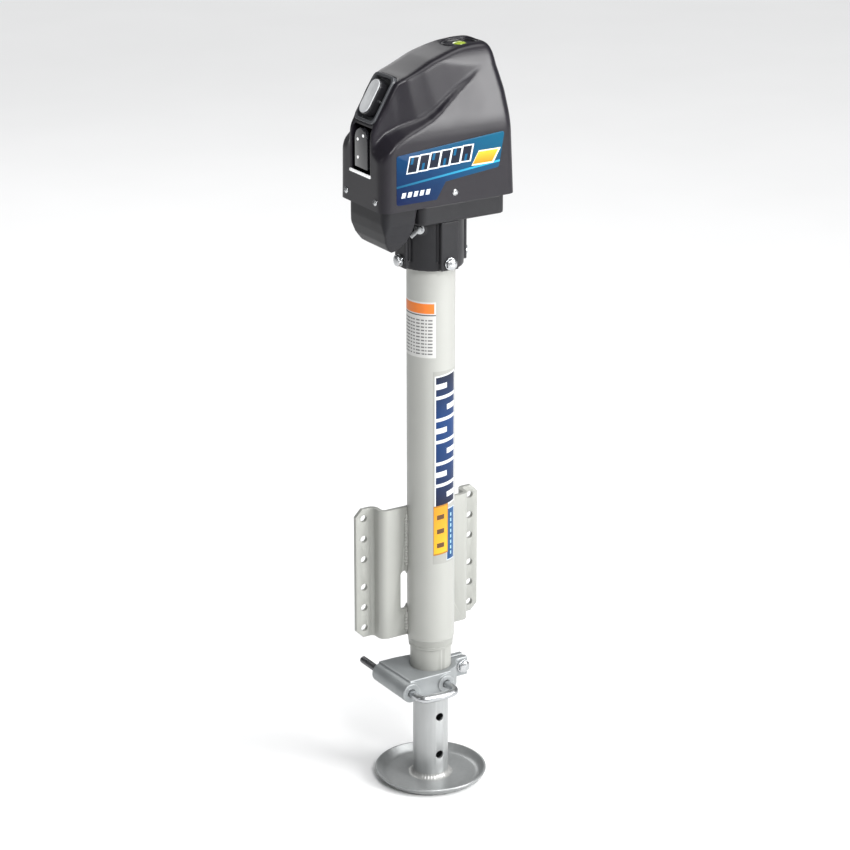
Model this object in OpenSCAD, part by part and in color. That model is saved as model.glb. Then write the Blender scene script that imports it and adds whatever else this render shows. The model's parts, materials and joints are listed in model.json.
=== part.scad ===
// Powered bolt-on trailer tongue jack with a drop leg and a round foot plate.
// Millimetres. The origin is on the tube axis at the underside of the foot plate.
// +Z is up, +Y points at the trailer frame, and -X is the side of the switch.

/* [Tubes] */
// Outside diameter of the outer tube
outer_d = 57.15; // [54:0.05:60]
// Wall of the outer tube
outer_wall = 2.9; // [2.5:0.1:3]
// Height of the lower end of the outer tube
outer_z0 = 190; // [186:1:196]
// Outside diameter of the ram tube
ram_d = 49.8; // [48:0.1:50]
// Wall of the ram tube
ram_wall = 2.8; // [2.4:0.1:2.9]
// Outside diameter of the drop leg
leg_d = 43; // [41:0.1:43.2]
// Wall of the drop leg
leg_wall = 3; // [2.5:0.1:3.5]
// Distance between two neighbouring holes of the drop leg
leg_pitch = 50.8; // [50:0.1:51]

/* [Foot] */
// Outside diameter of the foot plate's rim
foot_d = 137; // [128:1:144]
// Thickness of the foot plate
foot_t = 4; // [3:0.5:5]
// Height of the foot plate's turned-up rim
foot_h = 12; // [10:1:14]

/* [Bracket] */
// Distance between the two columns of bolt holes
bolt_span = 150; // [148:1:152]
// Distance between neighbouring bolt holes in a group of three
bolt_pitch = 26.5; // [25:0.5:27]
// Distance between the two inner bolt holes of a column
bolt_mid = 36; // [34:1:38]
// Diameter of a bracket bolt hole
bolt_hole_d = 9; // [8:0.5:10]
// Height of the bracket
bracket_h = 166; // [162:1:170]
// Height of the bracket's middle above the floor
bracket_mid = 274; // [272:1:278]
// Thickness of the bracket plate
bracket_t = 5; // [4:0.5:5]

/* [Head] */
// Length of the head cover from its front to its back
cover_l = 180; // [177:1:183]
// Width of the head cover
cover_w = 98; // [96:1:100]
// Wall of the head cover
cover_t = 3; // [2.5:0.5:3]
// Top of the head cover above the floor
cover_top = 917; // [914:1:920]
// Angle of the switch panel's outward direction from straight up
panel_tilt = 59; // [57:1:61]

/* [Pull pin] */
// Diameter of the round bar of the pull pin
pin_d = 9; // [8:0.5:9.5]
// Distance between the two legs of the pull pin
pin_span = 50; // [48:1:52]
// Distance from the tube axis to the middle of the handle's bar
pin_reach = 64; // [62:1:68]

/* [Hidden] */
$fn = 96;
eps = 0.01;

outer_r = outer_d / 2;
bore_r = outer_r - outer_wall;
outer_top = 700;
ram_r = ram_d / 2;
ram_z0 = 124;
ram_top = 610;
leg_r = leg_d / 2;
leg_top = 300;
leg_bore = leg_r - leg_wall;
leg_hole_r = 5.25;
leg_hole_z = 35;
leg_holes = 6;
pin_z = leg_hole_z + 2 * leg_pitch;

end_z0 = 177.5;
end_gap = 0.5;

screw_r = 10;
screw_z0 = 225;
screw_top = 763;
nut_h = 20;
nut_gap = 0.3;

neck_z0 = 660;
neck_top = 719;
neck_r = 38;
neck_bolt_z = 669;
neck_bolt_r = 4;
lug_turn = 219;
lug_pad = 39.2;
lug_z = 711;
base_top = 742;
lid_top = 746;
base_x0 = -42;
base_x1 = 74.5;
base_hw = 44;
wall = 4;

cover_x0 = -94;
cover_x1 = cover_x0 + cover_l;
cover_hw = cover_w / 2;

gear_module = 1.5;
gear_teeth = 48;
pinion_teeth = 13;
gear_z = 750;
gear_h = 12;
plate_z = 766;
plate_t = 3;
motor_x = -gear_module * (gear_teeth + pinion_teeth) / 2;
motor_r = 25;
gearhead_h = 20;
motor_h = 42;

panel_x = -75;
panel_z = 862;
bezel_l = 56;
bezel_w = 40;
bezel_r = 6;
bezel_off = 2;

barrel_x = -pin_span;
barrel_r = 12;
pin_r = pin_d / 2;
pin_gap = 0.3;
pin_bend = 10;
pin_tip = leg_r + 1;
pin_tail = 78;
barrel_y0 = -38;
barrel_y1 = 36;
cavity_y0 = -28;
cavity_y1 = 28;
cavity_r = 8.5;
collar_z0 = 124;
collar_z1 = 151;
clamp_x = 41;
clamp_z = 140;
clamp_r = 4;

// ---------- shared shapes ----------

module ring(r_out, r_in, h) {
    difference() {
        cylinder(r = r_out, h = h);
        translate([0, 0, -1]) cylinder(r = r_in, h = h + 2);
    }
}

// A cylinder that runs along Y from y0 to y1
module rod_y(r, y0, y1) {
    translate([0, y0, 0]) rotate([-90, 0, 0]) cylinder(r = r, h = y1 - y0);
}

// A cylinder that runs along X from x0 to x1
module rod_x(r, x0, x1) {
    translate([x0, 0, 0]) rotate([0, 90, 0]) cylinder(r = r, h = x1 - x0);
}

// A flat outline in X and Y with rounded corners
module rounded_rect(x0, x1, half_w, r) {
    translate([x0 + r, -half_w]) square([x1 - x0 - 2 * r, 2 * half_w]);
    translate([x0, -half_w + r]) square([x1 - x0, 2 * (half_w - r)]);
    for (x = [x0 + r, x1 - r], y = [-half_w + r, half_w - r])
        translate([x, y]) circle(r = r);
}

// An outline with two round ends, along X
module oblong(l, w) {
    square([l - w, w], center = true);
    for (s = [-1, 1]) translate([s * (l - w) / 2, 0]) circle(d = w);
}

// Extrudes an outline drawn as X and Z over the width from y0 to y1
module along_y(y0, y1) {
    translate([0, y1, 0]) rotate([90, 0, 0]) linear_extrude(y1 - y0) children();
}

// Extrudes an outline drawn as Y and Z over the length from x0 to x1
module along_x(x0, x1) {
    translate([x0, 0, 0]) rotate([90, 0, 90]) linear_extrude(x1 - x0) children();
}

// A thin sheet wrapped round the outer tube between two directions
module wrap(a0, a1, z0, z1, t) {
    translate([0, 0, z0]) rotate([0, 0, a0]) rotate_extrude(angle = a1 - a0)
        translate([outer_r, 0]) square([t, z1 - z0]);
}

// Straight-flanked teeth round a hub
function gear_outline(teeth, half_tip, half_root, r_tip, r_root) =
    [for (i = [0 : teeth - 1], k = [0 : 3])
        let (a = 360 * i / teeth,
             r = (k == 1 || k == 2) ? r_tip : r_root,
             half = (k == 1 || k == 2) ? half_tip : half_root,
             turn = (k < 2 ? -half : half) / r * 180 / PI)
        [r * cos(a + turn), r * sin(a + turn)]];

module gear(teeth, phase) {
    r_pitch = gear_module * teeth / 2;
    rotate([0, 0, phase])
        linear_extrude(gear_h)
            polygon(gear_outline(teeth, 0.22 * gear_module, 1.15 * gear_module,
                                 r_pitch + 0.7 * gear_module, r_pitch - 1.1 * gear_module));
}

// ---------- drop leg and foot ----------

module foot_plate() {
    r = foot_d / 2;
    color("silver") rotate_extrude()
        polygon([[0, 0], [r - 14, 0], [r - 7, 2.5], [r, foot_h - 4], [r, foot_h],
                 [r - 3, foot_h], [r - 9, foot_t + 2.5], [r - 15.5, foot_t], [0, foot_t]]);
}

module foot_weld() {
    color("darkgray") translate([0, 0, foot_t]) rotate_extrude()
        polygon([[leg_r, 0], [leg_r + 5.5, 0], [leg_r + 4, 2.5], [leg_r + 1.5, 5],
                 [leg_r, 5.5]]);
}

module drop_leg() {
    color("silver") difference() {
        translate([0, 0, foot_t]) ring(leg_r, leg_bore, leg_top - foot_t);
        for (i = [0 : leg_holes - 1])
            translate([0, 0, leg_hole_z + i * leg_pitch])
                rod_y(leg_hole_r, -leg_r - 1, leg_r + 1);
    }
}

// ---------- ram, collar and pull pin ----------

module ram_tube() {
    color("gainsboro") difference() {
        translate([0, 0, ram_z0]) ring(ram_r, ram_r - ram_wall, ram_top - ram_z0);
        translate([0, 0, pin_z]) rod_y(pin_r + pin_gap, -ram_r - 1, 0);
    }
}

module lift_nut() {
    color("goldenrod") translate([0, 0, ram_top - nut_h - 2])
        ring(ram_r - ram_wall, screw_r + nut_gap, nut_h);
}

// Outline of the collar's top web, from the barrel across the tube to the clamp ear
module collar_web() {
    polygon([[barrel_x - 2, barrel_y1], [barrel_x + 22, barrel_y1], [10, 31], [30, 16], [clamp_x - 9, 9],
             [clamp_x + 7, 9], [clamp_x + 7, -9], [clamp_x - 9, -9], [26, -14], [8, -32],
             [barrel_x, -34]]);
    circle(r = ram_r + 7);
}

module leg_collar() {
    web_t = 7;
    ear = 9;
    color("lightgray") difference() {
        union() {
            translate([0, 0, collar_z0])
                cylinder(r = ram_r + 7, h = collar_z1 - collar_z0);
            translate([0, 0, collar_z1 - web_t]) linear_extrude(web_t) collar_web();
            translate([barrel_x, -34, collar_z0 + 2])
                cube([-barrel_x + 8, 8, collar_z1 - collar_z0 - 2]);
            translate([barrel_x, 0, pin_z]) rod_y(barrel_r, barrel_y0, barrel_y1);
            translate([0, 0, pin_z]) rod_y(11, -37, -ram_r);
            translate([22, -ear, collar_z0 + 3])
                cube([clamp_x - 15, 2 * ear, collar_z1 - collar_z0 - 3]);
        }
        translate([0, 0, collar_z0 - 1]) cylinder(r = ram_r, h = 40);
        translate([barrel_x, 0, pin_z]) {
            rod_y(pin_r + pin_gap, barrel_y0 - 1, barrel_y1 + 1);
            rod_y(cavity_r, cavity_y0, cavity_y1);
        }
        translate([0, 0, pin_z]) rod_y(pin_r + pin_gap, -40, 0);
        translate([ram_r - 2, -1.5, collar_z0 - 1]) cube([clamp_x, 3, 40]);
        translate([clamp_x, 0, clamp_z]) rod_y(clamp_r, -ear - 1, ear + 1);
    }
}

module clamp_bolt() {
    color("silver") translate([clamp_x, 0, clamp_z]) {
        rod_y(clamp_r, -9 - eps, 19);
        rod_y(8.5, -10.6, -9);
        translate([0, -10.6, 0]) rotate([90, 0, 0]) cylinder(r = 7.5, h = 5.3, $fn = 6);
    }
}

module clamp_nut() {
    color("silver") translate([clamp_x, 9, clamp_z]) rotate([-90, 0, 0]) difference() {
        cylinder(r = 7.5, h = 6.5, $fn = 6);
        translate([0, 0, -1]) cylinder(r = clamp_r, h = 9);
    }
}

module pull_pin() {
    leg_y = -pin_reach + pin_bend;
    color("whitesmoke") translate([0, 0, pin_z]) {
        translate([barrel_x, 0, 0]) rod_y(pin_r, leg_y, pin_tail);
        rod_y(pin_r, leg_y, -pin_tip);
        translate([0, -pin_reach, 0]) rod_x(pin_r, barrel_x + pin_bend, -pin_bend);
        translate([barrel_x + pin_bend, leg_y, 0]) rotate([0, 0, 180])
            rotate_extrude(angle = 90) translate([pin_bend, 0]) circle(r = pin_r);
        translate([-pin_bend, leg_y, 0]) rotate([0, 0, 270])
            rotate_extrude(angle = 90) translate([pin_bend, 0]) circle(r = pin_r);
    }
}

module pin_clip() {
    color("dimgray") translate([barrel_x, 0, pin_z]) rotate([-90, 0, 0])
        ring(cavity_r - 1, pin_r, 2);
}

// Coils that push the clip back; drawn as closed rings between the clip and the barrel's end
module pin_spring() {
    coils = 7;
    wire = 1.3;
    step = (-cavity_y0 - 2 * wire) / coils;
    color("dimgray") translate([barrel_x, cavity_y0 + wire, pin_z]) rotate([-90, 0, 0])
        for (i = [0 : coils - 1]) translate([0, 0, i * step])
            rotate_extrude() translate([(cavity_r + pin_r) / 2, 0]) circle(r = wire / 2, $fn = 16);
}

// ---------- outer tube and bracket ----------

module outer_tube() {
    color("gainsboro") difference() {
        translate([0, 0, outer_z0]) ring(outer_r, bore_r, outer_top - outer_z0);
        for (a = [0 : 90 : 270]) rotate([0, 0, a]) translate([0, 0, neck_bolt_z])
            rod_x(neck_bolt_r, 0, outer_r + 5);
    }
}

// The swaged end that guides the ram
module end_ring() {
    lip = ram_r + end_gap;
    color("gainsboro") rotate_extrude()
        polygon([[lip, end_z0], [lip + 1.2, end_z0], [lip + 1.2, end_z0 + 3],
                 [outer_r, outer_z0], [lip, outer_z0]]);
}

// Plan outline of one bracket half: web, bend, side wall, bend and wing
module bracket_plan() {
    t = bracket_t;
    bend = 4;
    web_y = 10.5;
    wall_x = 57.5;
    wing_y = 30.5;
    web_end = wall_x - bend;
    wing_start = wall_x + t + bend;
    translate([10, web_y]) square([web_end - 10, t]);
    intersection() {
        translate([web_end, web_y + t + bend]) difference() {
            circle(r = bend + t);
            circle(r = bend);
        }
        translate([web_end, web_y]) square([bend + t, bend + t]);
    }
    translate([wall_x, web_y + t + bend]) square([t, wing_y - web_y - t - 2 * bend + t]);
    intersection() {
        translate([wing_start, wing_y - bend]) difference() {
            circle(r = bend + t);
            circle(r = bend);
        }
        translate([wall_x, wing_y - bend]) square([bend + t, bend + t]);
    }
    translate([wing_start, wing_y]) square([86 - wing_start, t]);
}

// Heights of the bolt holes above and below the bracket's middle
bolt_rows = [for (i = [0 : 2]) bolt_mid / 2 + i * bolt_pitch];

module bracket_half() {
    corner = 9;
    slot_r = 5;
    color("gainsboro") difference() {
        translate([0, 0, bracket_mid - bracket_h / 2]) linear_extrude(bracket_h) bracket_plan();
        cylinder(r = outer_r, h = outer_top);
        for (s = [-1, 1], row = bolt_rows)
            translate([bolt_span / 2, 0, bracket_mid + s * row]) rod_y(bolt_hole_d / 2, 25, 40);
        translate([0, 0, 230]) along_y(0, 20) translate([22, 0]) square([14, 40]);
        for (z = [230, 270]) translate([36 - slot_r, 0, z]) rod_y(slot_r, 0, 20);
        for (s = [-1, 1]) translate([86, 33, bracket_mid + s * bracket_h / 2])
            rotate([0, 45, 0]) cube([1.41 * corner, 20, 1.41 * corner], center = true);
    }
}

module bracket_right() bracket_half();

module bracket_left() mirror([1, 0, 0]) bracket_half();

module bracket_welds() {
    bead = 3.2;
    color("gainsboro") for (m = [0, 1]) mirror([m, 0, 0]) difference() {
        union() {
            translate([27.5, 10.5, 278]) cylinder(r = bead, h = 74, $fn = 24);
            translate([27.5, 10.5, 194]) cylinder(r = bead, h = 28, $fn = 24);
        }
        cylinder(r = outer_r, h = outer_top);
        translate([20, 10.5, 180]) cube([20, bracket_t, 180]);
    }
}

// ---------- neck, gears and motor ----------

module neck_collar() {
    rib_w = 24;
    rib_r = 42;
    color([0.13, 0.13, 0.14]) difference() {
        union() {
            translate([0, 0, neck_z0]) cylinder(r = neck_r, h = neck_top - neck_z0);
            for (a = [0 : 90 : 270]) rotate([0, 0, a])
                translate([0, -rib_w / 2, neck_z0 + 1]) cube([rib_r, rib_w, neck_top - neck_z0 - 1]);
            rotate([0, 0, lug_turn]) translate([0, 0, lug_z]) rod_x(7.2, neck_r - 6, lug_pad);
        }
        translate([0, 0, neck_z0 - 1]) cylinder(r = outer_r, h = outer_top - neck_z0 + 1);
        translate([0, 0, outer_top - 1]) cylinder(r = bore_r, h = neck_top - outer_top + 2);
        for (a = [0 : 90 : 270]) rotate([0, 0, a]) translate([0, 0, neck_bolt_z])
            rod_x(neck_bolt_r, 0, rib_r + 1);
    }
}

module neck_bolts() {
    color("silver") for (a = [0 : 90 : 270]) rotate([0, 0, a])
        translate([0, 0, neck_bolt_z]) {
            rod_x(neck_bolt_r, bore_r, 42 + eps);
            rod_x(7, 42, 43.2);
            translate([43.2, 0, 0]) rotate([0, 90, 0]) cylinder(r = 6.9, h = 5.6, $fn = 6);
        }
}

module thrust_bearing() {
    color("silver") translate([0, 0, outer_top]) ring(bore_r, screw_r + 0.05, 14);
}

module lead_screw() {
    color("darkgray") translate([0, 0, screw_z0]) cylinder(r = screw_r, h = screw_top - screw_z0);
}

module main_gear() {
    color("dimgray") translate([0, 0, gear_z]) difference() {
        gear(gear_teeth, 0);
        translate([0, 0, -1]) cylinder(r = screw_r, h = gear_h + 2);
        for (a = [30 : 60 : 330]) rotate([0, 0, a])
            translate([21, 0, -1]) cylinder(r = 6, h = gear_h + 2);
    }
}

module drive_pinion() {
    color("gray") translate([motor_x, 0, 0]) {
        translate([0, 0, gear_z]) gear(pinion_teeth, 180 / pinion_teeth);
        translate([0, 0, gear_z + gear_h - 1]) cylinder(r = 5, h = 13);
    }
}

module gear_base() {
    color([0.12, 0.12, 0.13]) difference() {
        translate([0, 0, neck_top]) linear_extrude(base_top - neck_top)
            rounded_rect(base_x0, base_x1, base_hw, 9);
        translate([0, 0, neck_top + wall]) linear_extrude(base_top)
            rounded_rect(base_x0 + wall, base_x1 - wall, base_hw - wall, 6);
        translate([0, 0, neck_top - 1]) cylinder(r = screw_r + 2, h = 10);
    }
}

module screw_bush() {
    color("darkgoldenrod") translate([0, 0, neck_top + wall])
        ring(19, screw_r + 0.05, base_top - neck_top - wall);
}

// Side outline of the front housing that hangs below the cover, drawn in X and Z
function housing_side(d) =
    [[cover_x0 + 7 + d, base_top + d], [cover_x0 + 7 + d, 726], [-85 + d, 714],
     [-81.5 + d, 702 + d * 0.4], [-76 + d * 0.7, 693 + d * 0.7], [-69, 688.5 + d],
     [-62 - d * 0.4, 691.5 + d * 0.9], [-55 - d * 0.7, 700 + d * 0.7], [-50 - d, 709 + d * 0.5],
     [-46.5 - d, 719 + d * 0.4], [base_x0 - 1 - d * 0.9, base_top - 4 + d * 0.4],
     [base_x0 - d * 0.4, base_top + d]];

// Front outline of the housing, drawn in Y and Z: upright at the top, narrower at the bottom
function housing_half(d) =
    [[40 - d, base_top + d], [40 - d, 724], [38 - d, 712], [34.5 - d, 701 + d * 0.3],
     [30 - d * 0.8, 692 + d * 0.6], [27 - d, 688.5 + d]];

module housing_form(d) {
    intersection() {
        along_y(-50, 50) polygon(housing_side(d));
        along_x(-120, 0) polygon(mirrored(housing_half(d)));
        translate([0, 0, 680]) linear_extrude(80)
            rounded_rect(cover_x0 + 7 + d, 0, 40 - d, 8 - d);
    }
}

module front_housing() {
    color([0.14, 0.14, 0.15]) difference() {
        housing_form(0);
        housing_form(3);
    }
}

module gear_lid() {
    lid_gap = 0.5;
    color("dimgray") difference() {
        translate([0, 0, base_top]) linear_extrude(lid_top - base_top)
            rounded_rect(cover_x0 + cover_t, cover_x1 - cover_t - lid_gap, cover_hw - cover_t, 12);
        translate([0, 0, base_top - 1]) cylinder(r = screw_r + 2, h = 10);
    }
}

// Plate on four posts that carries the motor above the gears
module motor_plate() {
    post_x = [-74, 42];
    post_y = 31;
    color("lightgray") {
        difference() {
            translate([0, 0, plate_z - plate_t]) linear_extrude(plate_t)
                rounded_rect(post_x[0] - 5, post_x[1] + 5, post_y + 5, 5);
            translate([motor_x, 0, plate_z - 5]) cylinder(r = 6, h = 10);
            translate([0, 0, plate_z - 5]) cylinder(r = screw_r + 2, h = 10);
        }
        for (x = post_x, y = [-post_y, post_y])
            translate([x, y, lid_top]) cylinder(r = 4, h = plate_z - plate_t - lid_top);
    }
}

module gearhead() {
    color("gray") translate([motor_x, 0, plate_z]) difference() {
        cylinder(r = motor_r, h = gearhead_h);
        translate([0, 0, -1]) cylinder(r = 6, h = 10);
    }
}

module motor() {
    color("dimgray") translate([motor_x, 0, plate_z + gearhead_h]) {
        cylinder(r = motor_r - 1, h = motor_h);
        translate([0, 0, motor_h]) cylinder(r = 9, h = 4);
    }
}

// Ring terminal and screw of the earth connection, on the front housing's sloping back
module ground_lug() {
    color("silver") rotate([0, 0, lug_turn]) translate([lug_pad, 0, lug_z]) rotate([0, 90, 0]) {
        cylinder(r = 6.2, h = 1.6);
        translate([0, 0, 1.6]) cylinder(r = 4.6, h = 3.4, $fn = 6);
        rotate([0, 0, -45]) translate([5, -2.4, 0]) cube([10, 4.8, 1.6]);
    }
}

// Bush under the gear base that the supply lead would come out of
module wire_grommet() {
    color([0.05, 0.05, 0.05]) translate([55, 0, neck_top - 5]) ring(7, 3.5, 5);
}

// ---------- head cover ----------

// Side outline of the cover, drawn in X and Z, set in by d
function cover_side(d) =
    [[cover_x0 + d, base_top - 2 * d], [cover_x0 + d, 830 - d], [-60 + d, 887 - d],
     [-50, 889.5 - d], [-38, 894 - d], [-14, cover_top - 11.5 - d], [6, cover_top - 5 - d],
     [26, cover_top - 1 - d], [46, cover_top - d], [59 - d * 0.5, cover_top - d],
     [66 - d, cover_top - 7 - d], [69 - d, cover_top - 17 - d], [72 - d, 887], [79 - d, 862],
     [83 - d, 826], [cover_x1 - d, base_top - 2 * d]];

// Front outline of the cover, drawn in Y and Z, set in by d
function cover_half(d) =
    [[cover_hw - d, base_top - 2 * d], [cover_hw - d, 820], [cover_hw - 3 - d, 838],
     [cover_hw - 8.5 - d, 862], [cover_hw - 13.5 - d, cover_top - 30 - d],
     [cover_hw - 17 - d, cover_top - 17 - d], [cover_hw - 21 - d, cover_top - 8 - d],
     [cover_hw - 30 - d, cover_top - d]];

function mirrored(points) =
    concat(points, [for (i = [len(points) - 1 : -1 : 0]) [-points[i][0], points[i][1]]]);

module cover_form(d) {
    hood_hw = 26 - d;
    difference() {
        intersection() {
            along_y(-60, 60) polygon(cover_side(d));
            along_x(-120, 120) polygon(mirrored(cover_half(d)));
            translate([0, 0, 700]) linear_extrude(250)
                rounded_rect(cover_x0 + d, cover_x1 - d, cover_hw - d, 15 - d);
        }
        for (s = [-1, 1]) along_y(s > 0 ? hood_hw : -60, s > 0 ? 60 : -hood_hw)
            polygon([[-110, 797 - d], [cover_x0 + d, 803 - d], [cover_x0 + 4 + d, 815 - d * 0.6],
                     [cover_x0 + 14 + d * 0.4, 828 - d], [-62, 835.5 - d], [-40, 841 - d],
                     [-22, 850 - d], [-22, 940], [-110, 940]]);
    }
}

// A flat outline with rounded corners, centred
module centred_rect(l, w, r) {
    square([l - 2 * r, w], center = true);
    square([l, w - 2 * r], center = true);
    for (x = [-1, 1], y = [-1, 1])
        translate([x * (l / 2 - r), y * (w / 2 - r)]) circle(r = r);
}

// Places a piece on the sloping switch panel: X runs up the slope and Z points out of it
module on_panel() {
    translate([panel_x, 0, panel_z]) rotate([0, -panel_tilt, 0]) children();
}

module switch_cut()
    on_panel() translate([bezel_off, 0, -14]) linear_extrude(30) centred_rect(bezel_l, bezel_w, bezel_r);

module lens_cut() {
    along_x(cover_x0 - 5, cover_x0 + 12) union() {
        translate([-15, 786]) square([30, 28]);
        translate([0, 814]) circle(r = 15);
    }
}

module level_cut() translate([38, 0, cover_top - 8]) linear_extrude(20) oblong(40, 28);

module head_cover() {
    color([0.17, 0.17, 0.18]) difference() {
        cover_form(0);
        cover_form(cover_t);
        switch_cut();
        lens_cut();
        level_cut();
    }
}

module cover_screws() {
    color("silver") {
        for (s = [-1, 1]) translate([cover_x0, s * 32, 753]) rod_x(3.8, -2, 0);
        for (s = [-1, 1]) translate([2, s * cover_hw, 755]) rod_y(3.8, s < 0 ? -2 : 0, s < 0 ? 0 : 2);
    }
}

module switch_bezel() {
    color("darkgray") on_panel() difference() {
        translate([bezel_off, 0, -10]) linear_extrude(12) centred_rect(bezel_l, bezel_w, bezel_r);
        translate([bezel_off, 0, -6.8]) linear_extrude(12)
            centred_rect(bezel_l - 7, bezel_w - 7, bezel_r - 2);
        translate([0, 0, -2]) rod_y(1.5, -bezel_w / 2 + 1, bezel_w / 2 - 1);
    }
}

module switch_body() {
    color([0.08, 0.08, 0.08]) on_panel() translate([-15, -9, -26]) cube([30, 18, 16]);
}

module rocker_button() {
    color([0.1, 0.1, 0.1]) on_panel() difference() {
        translate([0, 0, -4]) linear_extrude(11) oblong(40, 20);
        translate([0, 0, -2]) rod_y(1.6, -20, 20);
    }
}

module rocker_cap() {
    color("lightgray") on_panel() translate([0, 0, 7]) linear_extrude(1.2) oblong(37, 17);
}

module rocker_pin() {
    color("silver") on_panel() translate([0, 0, -2])
        rod_y(1.5, -bezel_w / 2 + 1, bezel_w / 2 - 1);
}

module light_lens() {
    color([0.1, 0.1, 0.12, 0.8]) intersection() {
        lens_cut();
        translate([cover_x0 + cover_t - 2, -20, 780]) cube([2, 40, 60]);
    }
}

module light_board() {
    color("darkgreen") translate([cover_x0 + 8, -12, 788]) cube([1.6, 24, 36]);
}

module light_leds() {
    color("white") for (p = [[6.5, 818], [-5.5, 824], [6.5, 797]])
        translate([0, p[0], p[1]]) rod_x(2, cover_x0 + 5.5, cover_x0 + 8);
}

module light_bar() {
    color("white") translate([cover_x0 - 1.5, -22.5, 778]) cube([1.5, 45, 3.5]);
}

module level_cup() {
    color([0.08, 0.08, 0.08]) translate([38, 0, cover_top - 8]) difference() {
        linear_extrude(8) oblong(40, 28);
        translate([0, 0, 2]) linear_extrude(8) oblong(37, 25);
    }
}

module level_vial() {
    color("yellowgreen") translate([38, 0, cover_top - 6]) cylinder(r = 9, h = 5);
}

// ---------- decals ----------

module side_decal(side) {
    t = 0.4;
    y0 = side < 0 ? -cover_hw - t : cover_hw;
    color([0.0, 0.33, 0.62]) along_y(y0, y0 + t)
        polygon([[-76, 750], [-21, 750], [-10, 770], [60, 776], [66, 815], [-76, 807]]);
}

module side_decal_left() side_decal(-1);

module side_decal_right() side_decal(1);

module tube_label() {
    color("white") wrap(150, 250, 552, 620, 0.3);
}

module tube_strip() {
    color([0.0, 0.3, 0.6]) wrap(243, 315, 292, 535, 0.3);
}

foot_plate();
foot_weld();
drop_leg();
ram_tube();
lift_nut();
leg_collar();
clamp_bolt();
clamp_nut();
pull_pin();
pin_clip();
pin_spring();
outer_tube();
end_ring();
bracket_left();
bracket_right();
bracket_welds();
neck_collar();
neck_bolts();
thrust_bearing();
lead_screw();
main_gear();
gear_base();
screw_bush();
gear_lid();
front_housing();
drive_pinion();
motor_plate();
gearhead();
motor();
ground_lug();
wire_grommet();
head_cover();
cover_screws();
switch_bezel();
switch_body();
rocker_button();
rocker_cap();
rocker_pin();
light_lens();
light_board();
light_leds();
light_bar();
level_cup();
level_vial();
side_decal_left();
side_decal_right();
tube_label();
tube_strip();
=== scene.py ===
"""A powered trailer tongue jack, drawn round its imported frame.

Lengths in the functions are millimetres, and angles are degrees until they reach a matrix.
"""
import json
import math

import bpy
from mathutils import Matrix, Vector


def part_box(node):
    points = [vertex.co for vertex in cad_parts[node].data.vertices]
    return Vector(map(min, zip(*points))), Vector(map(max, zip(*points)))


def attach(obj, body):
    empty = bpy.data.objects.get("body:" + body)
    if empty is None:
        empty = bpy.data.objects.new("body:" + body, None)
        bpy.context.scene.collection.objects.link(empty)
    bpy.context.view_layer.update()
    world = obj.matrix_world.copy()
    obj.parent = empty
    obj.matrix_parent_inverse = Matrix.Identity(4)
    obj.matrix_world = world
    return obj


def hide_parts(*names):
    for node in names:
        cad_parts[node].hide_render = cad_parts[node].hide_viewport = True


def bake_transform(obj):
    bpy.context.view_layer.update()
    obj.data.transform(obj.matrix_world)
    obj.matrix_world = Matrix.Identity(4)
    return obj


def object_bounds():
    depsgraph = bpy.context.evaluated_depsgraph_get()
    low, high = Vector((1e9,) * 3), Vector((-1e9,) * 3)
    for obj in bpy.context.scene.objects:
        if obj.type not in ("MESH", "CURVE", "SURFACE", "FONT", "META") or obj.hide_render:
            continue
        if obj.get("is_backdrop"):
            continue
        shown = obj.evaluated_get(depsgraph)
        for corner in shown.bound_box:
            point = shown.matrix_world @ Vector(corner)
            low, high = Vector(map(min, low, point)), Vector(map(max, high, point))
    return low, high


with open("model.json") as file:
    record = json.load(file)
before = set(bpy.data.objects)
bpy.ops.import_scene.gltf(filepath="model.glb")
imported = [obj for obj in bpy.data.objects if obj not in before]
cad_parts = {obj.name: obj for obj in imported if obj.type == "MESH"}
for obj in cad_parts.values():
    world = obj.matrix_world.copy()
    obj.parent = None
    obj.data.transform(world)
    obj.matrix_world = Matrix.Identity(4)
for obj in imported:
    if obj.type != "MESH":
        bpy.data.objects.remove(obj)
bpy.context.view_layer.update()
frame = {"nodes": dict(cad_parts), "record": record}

MM = 0.001
TURN = 2 * math.pi


def size_of(node):
    """Lowest and highest corner of a CAD node, in millimetres."""
    low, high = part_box(node)
    return Vector(low) / MM, Vector(high) / MM


# ---------------------------------------------------------------- node maths

class Value:
    """A socket that sums can be written with."""

    def __init__(self, shade, socket):
        self.shade, self.socket = shade, socket

    def math(self, operation, *others):
        return self.shade.node("Math", {"operation": operation}, [self, *others])

    def __add__(self, other):
        return self.math("ADD", other)

    def __sub__(self, other):
        return self.math("SUBTRACT", other)

    def __mul__(self, other):
        return self.math("MULTIPLY", other)

    def __rsub__(self, other):
        return self.shade.node("Math", {"operation": "SUBTRACT"}, [other, self])

    def __truediv__(self, other):
        return self.math("DIVIDE", other)

    def __rtruediv__(self, other):
        return self.shade.node("Math", {"operation": "DIVIDE"}, [other, self])

    def __gt__(self, other):
        return self.math("GREATER_THAN", other)

    def __lt__(self, other):
        return self.math("LESS_THAN", other)

    __radd__ = __add__
    __rmul__ = __mul__

    def clamp(self):
        return self.shade.node("Clamp", {}, [self])

    def within(self, low, high):
        return (self > low) * (self < high)


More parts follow.
